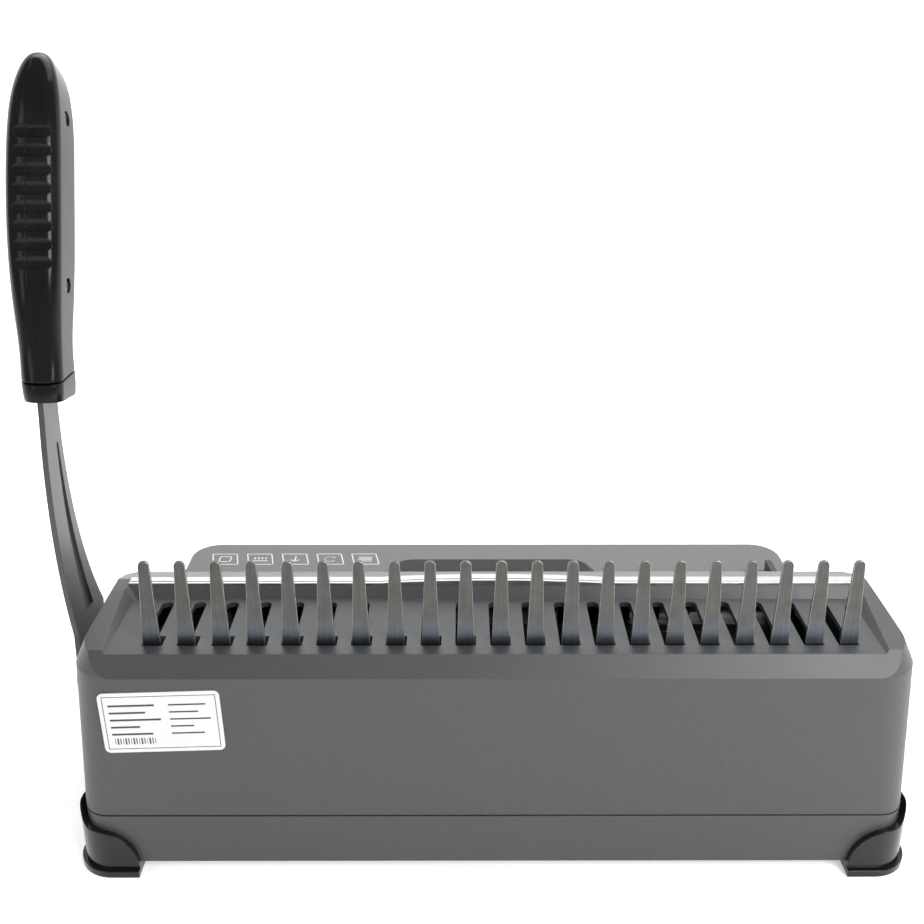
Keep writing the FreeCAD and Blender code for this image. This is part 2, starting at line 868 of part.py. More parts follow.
def make_hook_plate():
    """The moving comb: a bar with 21 thin hooks standing in the narrow slots."""
    low = d.hook_plate_low
    top = low + d.hook_plate_thick
    reach = d.hook_arm_in_x + d.hook_arm_thick
    bar = box_shape(-reach, reach, d.hook_front_y, d.hook_rear_y, low, top)
    crest = d.hook_top
    outline = [
        (d.hook_rear_y, low),
        (d.hook_rear_y, crest - 3),
        (d.hook_rear_y - 1.6, crest - 0.6),
        (d.hook_rear_y - 3.6, crest),
        (d.hook_rear_y - 5.8, crest - 1.2),
        (d.hook_rear_y - 6.6, crest - 3.6),
        (d.hook_rear_y - 5.2, crest - 4),
        (d.hook_rear_y - 4, crest - 6),
        (d.hook_rear_y - 4, low),
    ]
    hooks = []
    for x in finger_xs(d.comb_shift):
        start = x + d.slot_near_x + 0.5
        hooks.append(prism_x(outline, start, start + d.hook_thick))
    plate = bar.fuse(hooks).removeSplitter()
    finish(from_shape("hook_plate", plate), "hook_plate")


def make_hook_arm(name, sign):
    """A side arm under the hook plate, with the upright slot for the crank's upper pin."""
    body = new_body(name)
    start = "hook_arm_in_x" if sign > 0 else "-hook_arm_in_x - hook_arm_thick"
    outline = new_sketch(body, "YZ_Plane", name + "_outline", start)
    pin_y = "(shaft_y + hook_crank * sin(lever_swing / 2 * 1 deg))"
    points = [
        (f"{pin_y} - 5", "52"),
        (f"{pin_y} + 5", "52"),
        (f"{pin_y} + 5", "hook_rail_low"),
        ("hook_rear_y", "hook_rail_low"),
        ("hook_rear_y", "hook_plate_low"),
        ("hook_rear_y - 14", "hook_plate_low"),
        ("hook_rear_y - 17", "hook_rail_low + 9.5"),
        (f"{pin_y} - 5", "hook_rail_low + 9.5"),
    ]
    add_pad(body, name + "_pad", draw_polygon(outline, points), "hook_arm_thick")
    slot = new_sketch(body, "YZ_Plane", name + "_slot")
    side = "(pin_radius + pin_play)"
    draw_polygon(slot, rectangle(f"{pin_y} - {side}", "57.4", f"{pin_y} + {side}", "67.4"))
    cut_through(body, name + "_slot_cut", slot)
    finish(body, name)


def make_hook_rails():
    """Two plastic ledges on the side plates; the hook arms slide just above them."""
    wide = "side_plate_in_x - rail_in_x"
    low = "hook_rail_low - rail_high - 0.3"
    y = "rail_front_y"
    right = block("hook_rail_right", "rail_in_x", y, low, wide, "rail_long", "rail_high")
    left = block("hook_rail_left", "-side_plate_in_x", y, low, wide, "rail_long", "rail_high")
    finish(grouped("hook_rail_pair", [left, right]), "hook_rails")


# ---------------------------------------------------------------- shaft, cranks and springs


def make_shaft():
    shaft = cylinder_x(
        "shaft_bar",
        "shaft_radius",
        "-side_plate_in_x - 4.5",
        "side_plate_in_x + 4.5 + arm_in_x + arm_thick",
        "shaft_y",
        "shaft_height",
    )
    finish(shaft, "drive_shaft")


def make_bush(name, sign):
    start = "side_plate_in_x - 1.2" if sign > 0 else "-side_plate_in_x - 4.5"
    outer = cylinder_x(name + "_outside", "bush_radius", start, "5.7", "shaft_y", "shaft_height")
    inner = cylinder_x(
        name + "_inside", "shaft_radius + running_gap", start, "5.7", "shaft_y", "shaft_height"
    )
    finish(cut_from(name + "_ring", outer, inner), name)


def crank_point(radius, angle):
    """A point on the crank; 0 degrees is straight up, positive leans to the rear."""
    turn = math.radians(angle)
    return d.shaft_y + radius * math.sin(turn), d.shaft_height + radius * math.cos(turn)


def make_crank(name, sign):
    x0 = d.crank_in_x if sign > 0 else -d.crank_in_x - d.crank_thick
    x1 = x0 + d.crank_thick
    half_swing = d.lever_swing / 2
    y, z = crank_point(d.hook_crank, half_swing)
    hub = rod_x(d.crank_hub, x0, x1, d.shaft_y, d.shaft_height)
    lobe = rod_x(d.crank_lobe, x0, x1, y, z)
    lean = math.radians(half_swing)
    side_y = math.cos(lean)
    side_z = -math.sin(lean)
    web = prism_x(
        [
            (d.shaft_y - 11 * side_y, d.shaft_height - 11 * side_z),
            (d.shaft_y + 11 * side_y, d.shaft_height + 11 * side_z),
            (y + d.crank_lobe * side_y, z + d.crank_lobe * side_z),
            (y - d.crank_lobe * side_y, z - d.crank_lobe * side_z),
        ],
        x0,
        x1,
    )
    bore = rod_x(d.shaft_radius + 0.02, x0, x1, d.shaft_y, d.shaft_height)
    plate = hub.fuse([lobe, web]).cut(bore).removeSplitter()
    finish(from_shape(name, plate), name)


def make_crank_pins():
    half_swing = d.lever_swing / 2
    upper = crank_point(d.hook_crank, half_swing)
    front = crank_point(d.punch_crank, half_swing - 90)
    outer = d.crank_in_x + d.crank_thick
    pins = []
    for sign in (1, -1):
        ends = sorted((sign * outer, sign * (outer + 5)))
        pins.append(rod_x(d.pin_radius, ends[0], ends[1], *upper))
        ends = sorted((sign * d.crank_in_x, sign * (d.crank_in_x - 4)))
        pins.append(rod_x(d.pin_radius, ends[0], ends[1], *front))
    finish(from_shape("crank_pins", Part.makeCompound(pins)), "crank_pins")


def make_spring_set():
    """A tension spring each side pulls the hook arm, and so the lever, back to rest."""
    height = d.hook_rail_low - 2
    fixed_y = 76
    turns = 20
    moving_y = crank_point(d.hook_crank, d.lever_swing / 2)[0]
    fixed = []
    moving = []
    for name, sign in (("return_spring_right", 1), ("return_spring_left", -1)):
        inner = sign * 153.6
        ends = sorted((inner, sign * d.side_plate_in_x))
        fixed.append(rod_x(1.5, ends[0], ends[1], fixed_y, height))
        ends = sorted((inner, sign * d.hook_arm_in_x))
        moving.append(rod_x(1.5, ends[0], ends[1], moving_y, height))
        middle = sign * 155.9
        length = fixed_y - moving_y - 7
        coil = Part.makeHelix(length / turns, length, 1.7)
        start = Vector(1.7, 0, 0)
        section = Part.Wire([Part.makeCircle(0.45, start, Vector(0, 1, 0))])
        spring = Part.Wire(coil).makePipeShell([section], True, True)
        spring.rotate(Vector(0, 0, 0), Vector(1, 0, 0), -90)
        spring.translate(Vector(middle, moving_y + 3.5, height))
        loops = []
        for y in (moving_y, fixed_y):
            loop = Part.makeTorus(2.6, 0.45, Vector(middle, y, height), Vector(1, 0, 0))
            loops.append(loop)
        finish(from_shape(name, Part.makeCompound([spring] + loops)), name)
    finish(from_shape("spring_posts_fixed", Part.makeCompound(fixed)), "spring_posts_fixed")
    finish(from_shape("spring_posts_moving", Part.makeCompound(moving)), "spring_posts_moving")


# ---------------------------------------------------------------- lever


def lever_point(radius, height):
    """A point on the lever's arc, at a height measured along its centreline."""
    turn = math.asin((height - d.lever_arc_z) / d.lever_arc)
    return (
        d.lever_arc_y + radius * math.cos(turn),
        d.lever_arc_z + radius * math.sin(turn),
    )


def lever_band(x0, x1, low, high, wide):
    """A strip that follows the lever's arc."""
    inner = d.lever_arc - wide / 2
    outer = d.lever_arc + wide / 2
    middle = (low + high) / 2

    def at(radius, height):
        return Vector(x0, *lever_point(radius, height))

    edges = [
        Part.Arc(at(outer, low), at(outer, middle), at(outer, high)).toShape(),
        Part.LineSegment(at(outer, high), at(inner, high)).toShape(),
        Part.Arc(at(inner, high), at(inner, middle), at(inner, low)).toShape(),
        Part.LineSegment(at(inner, low), at(outer, low)).toShape(),
    ]
    return Part.Face(Part.Wire(edges)).extrude(Vector(x1 - x0, 0, 0))


def arc_face(x, rear, front):
    """A flat shape between two arcs, each given as its start, middle and end (y, z)."""
    rear_points = [Vector(x, y, z) for y, z in rear]
    front_points = [Vector(x, y, z) for y, z in front]
    edges = [
        Part.Arc(*rear_points).toShape(),
        Part.LineSegment(rear_points[-1], front_points[0]).toShape(),
        Part.Arc(*front_points).toShape(),
        Part.LineSegment(front_points[-1], rear_points[0]).toShape(),
    ]
    return Part.Face(Part.Wire(edges))


def make_lever_arm():
    """A flat bar, widening downwards to its hub, with a pressed channel in its inner face."""
    x0 = d.arm_in_x
    x1 = x0 + d.arm_thick
    along = Vector(d.arm_thick, 0, 0)
    joint_height = 182
    rear_top = lever_point(d.lever_arc + d.arm_wide / 2, joint_height)
    front_top = lever_point(d.lever_arc - d.arm_wide / 2, joint_height)
    rear = [rear_top, (34.4, 138), (25.5, 75)]
    front = [(-13.1, 74), (9.2, 128), front_top]
    blade = arc_face(x0, rear, front).extrude(along)
    foot = prism_x(
        [
            (25.5, 75),
            (d.shaft_y + d.hub_radius, d.shaft_height),
            (d.shaft_y - d.hub_radius, d.shaft_height),
            (-13.1, 74),
        ],
        x0,
        x1,
    )
    strip = lever_band(x0, x1, joint_height, d.grip_top - 14, d.arm_wide)
    hub = rod_x(d.hub_radius, x0, x1, d.shaft_y, d.shaft_height)
    bore = rod_x(d.shaft_radius + 0.02, x0 - 1, x1 + 1, d.shaft_y, d.shaft_height)
    arm = strip.fuse([blade, foot, hub]).cut(bore).removeSplitter()
    channel_rear = [(20.6, 169), (21.2, 142), (12, 80)]
    channel_front = [(1.5, 80), (17.2, 142), (18.4, 169)]
    channel_depth = 1.2
    channel = arc_face(x0 - 1, channel_rear, channel_front).extrude(Vector(1 + channel_depth, 0, 0))
    arm = arm.cut(channel)
    finish(from_shape("lever_arm", arm), "lever_arm")
    boss_start = "half_width + 1.6"
    boss_long = "arm_in_x - half_width - 1.7"
    hub_boss = cylinder_x(
        "hub_boss", "hub_boss_radius", boss_start, boss_long, "shaft_y", "shaft_height"
    )
    hub_bore = cylinder_x(
        "hub_bore",
        "shaft_radius + 0.02",
        "half_width",
        "arm_in_x - half_width",
        "shaft_y",
        "shaft_height",
    )
    finish(cut_from("lever_hub_ring", hub_boss, hub_bore), "lever_hub")
    bolt = cylinder_x(
        "bolt_head", "bolt_head_radius", "arm_in_x + arm_thick", "4.5", "shaft_y", "shaft_height"
    )
    finish(bolt, "lever_bolt")


# The grip's sections from the collar up: height, half width across X and depth along Y.
GRIP_SECTIONS = [
    (190, 8.8, 25),
    (198, 9.4, 25.5),
    (210, 9.5, 23),
    (224, 10.3, 25),
    (240, 11.3, 27.5),
    (262, 12.0, 28),
    (286, 12.0, 28),
    (301, 11.5, 27.5),
    (312, 10.2, 25.5),
    (320, 8.0, 21.5),
    (325.5, 4.8, 14),
    (327.6, 2.2, 6),
]


def grip_section(height, half, deep):
    """A rounded section across the lever's arc, fuller on its outer side."""
    centre = d.arm_in_x + d.arm_thick / 2 - d.grip_inwards
    round_outer = 0.36 * deep
    round_inner = min(0.22 * deep, half * 0.6)
    flat = rounded_outline(-half, half, -deep / 2, deep / 2, 0.3 * deep, 0.3 * deep, 0)
    if half > 7:
        flat = uneven_outline(half, deep, round_outer, round_inner)
    tilt = math.degrees(math.asin((height - d.lever_arc_z) / d.lever_arc))
    y, z = lever_point(d.lever_arc, height)
    flat.rotate(Vector(0, 0, 0), Vector(1, 0, 0), tilt)
    flat.translate(Vector(centre, y, z))
    return flat


def uneven_outline(half, deep, round_outer, round_inner):
    """A level rectangle about the origin, its +X corners rounder than its -X corners."""
    side = deep / 2
    corners = [
        (Vector(-half, -side, 0), round_inner, Vector(0, 1, 0), Vector(1, 0, 0)),
        (Vector(half, -side, 0), round_outer, Vector(-1, 0, 0), Vector(0, 1, 0)),
        (Vector(half, side, 0), round_outer, Vector(0, -1, 0), Vector(-1, 0, 0)),
        (Vector(-half, side, 0), round_inner, Vector(1, 0, 0), Vector(0, -1, 0)),
    ]
    return corner_wire(corners)


def make_grip():
    """The whole moulding, before it is split at the lever arm."""
    centre = d.arm_in_x + d.arm_thick / 2
    body = Part.makeLoft([grip_section(*section) for section in GRIP_SECTIONS], True, False)
    cuts = []
    # Shallow ribs across the rear face.
    reach = d.grip_half_x + 2
    for i in range(8):
        height = 245 + 7 * i
        surface = d.lever_arc + 14
        y, z = lever_point(surface + 2.0, height)
        cuts.append(rod_x(3.4, centre - reach, centre + reach, y, z))
    body = body.cut(Part.makeCompound(cuts))
    # A thin ring line sets the collar off.
    ring = Part.makeBox(60, 60, 1.2, Vector(centre - 30, -10, 199))
    core = grip_section(199, 8.6, 23.4)
    inner = Part.Face(core).extrude(Vector(0, 0, 3))
    inner.translate(Vector(0, 0, -1))
    return body.cut(ring.cut(inner))


def make_grip_halves():
    centre = d.arm_in_x + d.arm_thick / 2
    reach = d.grip_half_x + 3
    body = make_grip()
    arm = lever_band(d.arm_in_x, d.arm_in_x + d.arm_thick, 150, d.grip_top - 14, d.arm_wide)
    body = body.cut(arm)
    split = 0.08
    outer = body.common(box_shape(centre + split, centre + reach, -100, 100, 150, 400))
    inner = body.common(box_shape(centre - reach, centre - split, -100, 100, 150, 400))
    for height in GRIP_SCREW_HEIGHTS:
        y, z = lever_point(d.lever_arc, height)
        recess_end = centre - screw_depth(height) + d.grip_screw_head
        recess = rod_x(d.grip_screw_radius + 0.3, centre - reach, recess_end, y, z)
        inner = inner.cut(recess)
    finish(from_shape("grip_outer_half", outer), "grip_outer_half")
    finish(from_shape("grip_inner_half", inner), "grip_inner_half")


GRIP_SCREW_HEIGHTS = (237, 303)


def screw_depth(height):
    """How far the inner face stands from the grip's middle at a screw."""
    below = [section for section in GRIP_SECTIONS if section[0] <= height][-1]
    above = [section for section in GRIP_SECTIONS if section[0] > height][0]
    share = (height - below[0]) / (above[0] - below[0])
    return below[1] + share * (above[1] - below[1]) + d.grip_inwards - 0.8


def make_grip_screws():
    centre = d.arm_in_x + d.arm_thick / 2
    screws = []
    for height in GRIP_SCREW_HEIGHTS:
        x0 = centre - screw_depth(height)
        y, z = lever_point(d.lever_arc, height)
        head = rod_x(d.grip_screw_radius, x0, x0 + d.grip_screw_head, y, z)
        slot = box_shape(x0 - 1, x0 + 0.5, y - 2.2, y + 2.2, z - 0.4, z + 0.4)
        cross = box_shape(x0 - 1, x0 + 0.5, y - 0.4, y + 0.4, z - 2.2, z + 2.2)
        screws.append(head.cut(slot).cut(cross))
    finish(from_shape("grip_screws", Part.makeCompound(screws)), "grip_screws")


# ---------------------------------------------------------------- tray, edge guide, screws


def make_chip_tray():
    body = new_body("chip_tray")
    front = "-base_half_y"
    outline = new_sketch(body, "XY_Plane", "tray_outline", "tray_low")
    draw_polygon(outline, rectangle("-tray_half_x", front, "tray_half_x", "tray_rear_y"))
    add_pad(body, "tray_block", outline, "tray_top - tray_low")
    inside = new_sketch(body, "XY_Plane", "tray_inside", "tray_top")
    draw_polygon(
        inside,
        rectangle(
            "-tray_half_x + tray_wall",
            f"{front} + tray_wall + 0.5",
            "tray_half_x - tray_wall",
            "tray_rear_y - tray_wall",
        ),
    )
    hollow = body.newObject("PartDesign::Pocket", "tray_hollow")
    hollow.Profile = inside
    bind(hollow, "Length", "tray_top - tray_low - tray_wall")
    pull = new_sketch(body, "XY_Plane", "tray_pull_outline", "tray_top - 4")
    half = "tray_pull_half_x"
    draw_polygon(pull, rectangle(f"-{half}", f"{front} - tray_pull_out", half, f"{front} + 1"))
    add_pad(body, "tray_pull", pull, "3")
    finish(body, "chip_tray")


def make_edge_guide():
    """A block that slides in the table's slot and squares the sheets."""
    body = new_body("edge_guide")
    left = "guide_left_x"
    right = "(guide_left_x + guide_wide)"
    start = "table_height + guide_lift"
    foot = new_sketch(body, "XY_Plane", "guide_tongue_outline", "table_height - 4")
    tongue = rectangle(
        f"{left} + 2", "guide_slot_front_y + 0.4", f"{right} - 2", "guide_slot_rear_y - 0.4"
    )
    add_pad(body, "guide_tongue", draw_polygon(foot, tongue), "5")
    base = new_sketch(body, "XY_Plane", "guide_block_outline", start)
    draw_polygon(base, rectangle(left, "guide_front_y", right, "guide_rear_y"))
    add_pad(body, "guide_block", base, "5")
    fence = new_sketch(body, "XY_Plane", "guide_fence_outline", start)
    draw_polygon(fence, rectangle(left, "guide_front_y", f"{left} + 3", "guide_rear_y"))
    add_pad(body, "guide_fence", fence, "11")
    finish(body, "edge_guide")


def make_screws():
    heads = []
    for x in (-130, 0, 130):
        for y in (-70, 70):
            head = rod_z(3.5, x, y, d.foot_gap - 1.6, d.foot_gap)
            heads.append(head.cut(box_shape(x - 2.4, x + 2.4, y - 0.5, y + 0.5, 0, d.foot_gap - 0.9)))
    finish(from_shape("base_screws", Part.makeCompound(heads)), "base_screws")
    bolts = []
    floor = d.floor_top + d.side_plate_thick - 1
    for sign in (1, -1):
        for y in (30, 70):
            bolts.append(rod_z(3.2, sign * (d.side_plate_in_x - 9), y, floor, floor + 2.4))
    finish(from_shape("side_plate_screws", Part.makeCompound(bolts)), "side_plate_screws")


# ---------------------------------------------------------------- build, check and write

make_base_pan()
make_top_cover()
make_trim_strip()
make_paper_table()
make_table_grip()
make_boots()
make_rating_plate()
make_side_plate("side_plate_right", 1)
make_side_plate("side_plate_left", -1)
make_tool_plate("die_plate", "die_low")
make_tool_plate("punch_guide_plate", "guide_low")
make_throat_parts()
make_punches()
make_punch_bar()
make_comb_plate()
make_hook_plate()
make_hook_arm("hook_arm_right", 1)
make_hook_arm("hook_arm_left", -1)
make_hook_rails()
make_shaft()
make_bush("shaft_bush_right", 1)
make_bush("shaft_bush_left", -1)
make_crank("crank_right", 1)
make_crank("crank_left", -1)
make_crank_pins()
make_spring_set()
make_lever_arm()
make_grip_halves()
make_grip_screws()
make_chip_tray()
make_edge_guide()
make_screws()

doc.recompute()
for thing in doc.Objects:
    for state in thing.State:
        if state in ("Invalid", "Error"):
            raise RuntimeError(f"{thing.Label} did not build: {thing.State}")
for part, label in finished:
    if part.Shape.isNull() or not part.Shape.isValid():
        raise RuntimeError(f"{label} has no valid shape")
    part.Shape.exportStep(f"parts/{label}.step")
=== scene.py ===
import json
import math

import bmesh
import bpy
from mathutils import Matrix, Vector


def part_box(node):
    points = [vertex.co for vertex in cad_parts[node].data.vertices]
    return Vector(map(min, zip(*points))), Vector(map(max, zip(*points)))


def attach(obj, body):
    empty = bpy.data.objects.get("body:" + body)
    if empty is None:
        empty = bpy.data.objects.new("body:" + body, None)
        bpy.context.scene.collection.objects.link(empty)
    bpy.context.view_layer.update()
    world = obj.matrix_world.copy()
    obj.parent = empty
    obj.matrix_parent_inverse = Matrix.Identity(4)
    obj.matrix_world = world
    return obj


MM = 0.001

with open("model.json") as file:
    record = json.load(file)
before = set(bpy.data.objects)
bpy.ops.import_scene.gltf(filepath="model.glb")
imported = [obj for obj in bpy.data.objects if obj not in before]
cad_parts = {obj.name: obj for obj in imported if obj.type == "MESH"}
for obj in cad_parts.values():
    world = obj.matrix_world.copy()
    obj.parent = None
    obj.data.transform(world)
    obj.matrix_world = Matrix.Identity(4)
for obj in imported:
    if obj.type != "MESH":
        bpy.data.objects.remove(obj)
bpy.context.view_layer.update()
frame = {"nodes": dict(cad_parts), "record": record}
NODES = frame["nodes"]

# Where the casing's middle stands in the shared frame, and heights on the machine.
CASING_X = sum(corner.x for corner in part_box("base_pan")) / 2
TABLE_TOP = 64 * MM
COMB_FOOT_TOP = 113 * MM
COMB_BLADE_LOW = 117 * MM


# ---------------------------------------------------------------- shader helpers


class Shader:
    """A small builder for one node material."""

    def __init__(self, name):
        self.material = bpy.data.materials.new(name)
        self.material.use_nodes = True
        self.nodes = self.material.node_tree.nodes
        self.links = self.material.node_tree.links
        self.surface = self.nodes["Principled BSDF"]
        self.where = self.nodes.new("ShaderNodeTexCoord").outputs["Object"]

    def link(self, source, target):
        self.links.new(source, target)

    def add(self, kind, **settings):
        node = self.nodes.new(kind)
        for key, value in settings.items():
            setattr(node, key, value)
        return node

    def stretched(self, scale):
        mapping = self.add("ShaderNodeMapping")
        mapping.inputs["Scale"].default_value = scale
        self.link(self.where, mapping.inputs["Vector"])
        return mapping.outputs["Vector"]

    def noise(self, scale, detail=3.0, stretch=(1, 1, 1), roughness=0.5):
        node = self.add("ShaderNodeTexNoise")
        node.inputs["Scale"].default_value = scale
        node.inputs["Detail"].default_value = detail
        node.inputs["Roughness"].default_value = roughness
        self.link(self.stretched(stretch), node.inputs["Vector"])
        return node.outputs["Fac"]

    def spots(self, scale, stretch=(1, 1, 1)):
        node = self.add("ShaderNodeTexVoronoi")
        node.inputs["Scale"].default_value = scale
        self.link(self.stretched(stretch), node.inputs["Vector"])
        return node.outputs["Distance"]

    def ramp(self, source, stops):
        node = self.add("ShaderNodeValToRGB")
        ramp = node.color_ramp
        while len(ramp.elements) < len(stops):
            ramp.elements.new(0.5)
        for element, (place, level) in zip(ramp.elements, stops):
            element.position = place
            element.color = level if hasattr(level, "__len__") else (level, level, level, 1)
        self.link(source, node.inputs["Fac"])
        return node.outputs["Color"]

    def span(self, source, low, high):
        """The source's 0 to 1 spread over low to high."""
        node = self.add("ShaderNodeMapRange")
        node.inputs["To Min"].default_value = low
        node.inputs["To Max"].default_value = high
        self.link(source, node.inputs["Value"])
        return node.outputs["Result"]

    def mix(self, share, first, second):
        node = self.add("ShaderNodeMix", data_type="RGBA")
        for value, socket in ((share, 0), (first, 6), (second, 7)):
            if isinstance(value, bpy.types.NodeSocket):
                self.link(value, node.inputs[socket])
            else:
                node.inputs[socket].default_value = value
        return node.outputs[2]

    def multiply(self, first, second):
        node = self.add("ShaderNodeMix", data_type="RGBA", blend_type="MULTIPLY")
        node.inputs[0].default_value = 1.0
        self.link(first, node.inputs[6])
        self.link(second, node.inputs[7])
        return node.outputs[2]

    def along_axis(self, axis, start, end, low=0.0, high=1.0):
        """Runs from low to high as the object's own X, Y or Z goes from start to end."""
        split = self.add("ShaderNodeSeparateXYZ")
        self.link(self.where, split.inputs[0])
        node = self.add("ShaderNodeMapRange")
        node.inputs["From Min"].default_value = start
        node.inputs["From Max"].default_value = end
        node.inputs["To Min"].default_value = low
        node.inputs["To Max"].default_value = high
        self.link(split.outputs[axis], node.inputs["Value"])
        return node.outputs["Result"]

    def maths(self, operation, first, second):
        node = self.add("ShaderNodeMath", operation=operation, use_clamp=True)
        for value, socket in ((first, 0), (second, 1)):
            if isinstance(value, bpy.types.NodeSocket):
                self.link(value, node.inputs[socket])
            else:
                node.inputs[socket].default_value = value
        return node.outputs[0]

    def edge_mask(self, radius):
        """About 1 on sharp edges and 0 elsewhere."""
        bevel = self.add("ShaderNodeBevel", samples=4)
        bevel.inputs["Radius"].default_value = radius
        plain = self.add("ShaderNodeNewGeometry")
        dot = self.add("ShaderNodeVectorMath", operation="DOT_PRODUCT")
        self.link(bevel.outputs["Normal"], dot.inputs[0])
        self.link(plain.outputs["Normal"], dot.inputs[1])
        away = self.maths("SUBTRACT", 1.0, dot.outputs["Value"])
        return self.maths("MULTIPLY", away, 5.0)

    def relief(self, height, strength, distance, round_edges=0.0):
        bump = self.add("ShaderNodeBump")
        bump.inputs["Strength"].default_value = strength
        bump.inputs["Distance"].default_value = distance
        self.link(height, bump.inputs["Height"])
        if round_edges:
            bevel = self.add("ShaderNodeBevel", samples=4)
            bevel.inputs["Radius"].default_value = round_edges
            self.link(bevel.outputs["Normal"], bump.inputs["Normal"])
        self.link(bump.outputs["Normal"], self.surface.inputs["Normal"])

    def set(self, socket, value):
        if isinstance(value, bpy.types.NodeSocket):
            self.link(value, self.surface.inputs[socket])
        else:
            self.surface.inputs[socket].default_value = value


def grey(level, tint=(1.0, 1.0, 1.0)):
    return (level * tint[0], level * tint[1], level * tint[2], 1)


# ---------------------------------------------------------------- materials


def painted(name, level, tint, rough=0.42, grain=1400, painted_highlight_gain=1.45):
    """Satin textured coating: fine grain, faint cloudiness, and a painted highlight that lightens
    the edges; the last argument sets how light that highlight is.
    """
    shader = Shader(name)
    cloud = shader.noise(14, detail=4)
    fine = shader.noise(grain, detail=2)
    base = shader.mix(cloud, grey(level * 0.93, tint), grey(level * 1.07, tint))
    speck = shader.ramp(fine, [(0.35, 0.9), (0.65, 1.06)])
    speckled = shader.multiply(base, speck)
    # Painted highlight: sharp edges are lightened as if they caught the light.
    painted_edge_highlight = shader.maths("MULTIPLY", shader.edge_mask(0.0006), 0.55)
    shader.set("Base Color", shader.mix(painted_edge_highlight, speckled, grey(level * painted_highlight_gain, tint)))
    shader.set("Roughness", shader.span(cloud, rough - 0.05, rough + 0.07))
    shader.set("Specular IOR Level", 0.5)
    shader.relief(fine, 0.35, 0.00004, 0.0005)
    return shader.material


def gloss_moulding(name):
    """Glossy black moulding with faint handling marks and a little orange peel."""
    level = 0.008
    rough = 0.09
    scratches = 0.05
    shader = Shader(name)
    peel = shader.noise(260, detail=1)
    smear = shader.noise(38, detail=5, stretch=(1, 1, 0.35), roughness=0.7)
    hair = shader.noise(900, detail=3, stretch=(1, 1, 0.04))
    dust = shader.ramp(smear, [(0.45, grey(level)), (0.8, grey(level * 1.8))])
    # Painted highlight: sharp edges are lightened towards dark grey.
    painted_edge_highlight = shader.maths("MULTIPLY", shader.edge_mask(0.0005), 0.25)
    shader.set("Base Color", shader.mix(painted_edge_highlight, dust, grey(0.05)))
    marks = shader.maths("MULTIPLY", shader.ramp(hair, [(0.55, 0.0), (0.75, 1.0)]), scratches)
    shader.set("Roughness", shader.maths("ADD", shader.span(smear, rough, rough + 0.09), marks))
    shader.set("Specular IOR Level", 0.17)
    shader.relief(peel, 0.12, 0.00006, 0.0008)
    return shader.material


def boot_rubber(name):
    """Smooth black soft moulding with a faint bloom."""
    shader = Shader(name)
    grain = shader.noise(600, detail=2)
    cloud = shader.noise(45, detail=4)
    shader.set("Base Color", shader.mix(cloud, grey(0.007), grey(0.016)))
    shader.set("Roughness", shader.span(cloud, 0.12, 0.22))
    shader.set("Specular IOR Level", 0.35)
    shader.relief(grain, 0.15, 0.00003, 0.0008)
    return shader.material


def steel(name, level, tint, rough, along, streak=0.2, spangle=0.0):
    """Metal with fine drawn lines; along is the stretch that sets their direction."""
    shader = Shader(name)
    lines = shader.noise(900, detail=4, stretch=along, roughness=0.6)
    cloud = shader.noise(30, detail=3)
    low = grey(level * (1 - streak), tint)
    high = grey(level * (1 + streak), tint)
    base = shader.mix(lines, low, high)
    if spangle:
        flakes = shader.ramp(shader.spots(150), [(0.1, 1 - spangle), (0.7, 1.0)])
        base = shader.multiply(base, flakes)
    # Painted highlight: sharp edges are lightened as if they caught the light.
    bright = shader.maths("MULTIPLY", shader.edge_mask(0.0004), 0.7)
    shader.set("Base Color", shader.mix(bright, base, grey(min(1.0, level * 1.5), tint)))
    shader.set("Metallic", 1.0)
    rough_lines = shader.span(lines, rough - 0.06, rough + 0.08)
    worn = shader.maths("MULTIPLY", cloud, 0.08)
    shader.set("Roughness", shader.maths("ADD", rough_lines, worn))
    shader.relief(lines, 0.12, 0.00003, 0.0003)
    return shader.material


def comb_steel(name):
    """The fingers' sheet steel: drawn lines, painted reflections that make the foot lighter and
    bluish and the blade warmer and mottled, and a painted highlight on the edges.
    """
    shader = Shader(name)
    lines = shader.noise(1100, detail=4, stretch=(1, 1, 0.03), roughness=0.6)
    mottle = shader.noise(160, detail=4, roughness=0.65)
    # Painted reflection: the blade gets a warmer, darker tone and the foot a lighter, bluish one,
    # blended over the height where the fingers bend.
    rise = shader.along_axis("Z", COMB_FOOT_TOP, COMB_BLADE_LOW)
    blade_painted_reflection = shader.mix(mottle, grey(0.066, (1.05, 1.0, 0.9)), grey(0.125, (1.0, 1.0, 0.96)))
    foot_painted_reflection = shader.mix(mottle, grey(0.08, (0.86, 0.98, 1.1)), grey(0.14, (0.9, 1.0, 1.1)))
    painted_reflection_tone = shader.mix(rise, foot_painted_reflection, blade_painted_reflection)
    streaked = shader.multiply(painted_reflection_tone, shader.ramp(lines, [(0.3, 0.85), (0.7, 1.1)]))
    # Painted highlight: sharp edges are turned light grey.
    shader.set("Base Color", shader.mix(shader.edge_mask(0.0004), streaked, grey(0.75)))
    shader.set("Metallic", 1.0)
    shader.set("Roughness", shader.span(lines, 0.28, 0.42))
    shader.relief(lines, 0.1, 0.00003, 0.0004)
    return shader.material


def moulded(name, level, tint, rough=0.5):
    """Plain fine-grained plastic moulding, with edges lightened as a painted highlight."""
    shader = Shader(name)
    grain = shader.noise(1100, detail=2)
    cloud = shader.noise(25, detail=4)
    base = shader.mix(cloud, grey(level * 0.9, tint), grey(level * 1.1, tint))
    # Painted highlight: sharp edges are lightened as if they caught the light.
    painted_edge_highlight = shader.maths("MULTIPLY", shader.edge_mask(0.0005), 0.4)
    shader.set("Base Color", shader.mix(painted_edge_highlight, base, grey(level * 1.5 + 0.02, tint)))
    shader.set("Roughness", shader.span(cloud, rough - 0.06, rough + 0.08))
    shader.relief(grain, 0.3, 0.00003, 0.0005)
    return shader.material


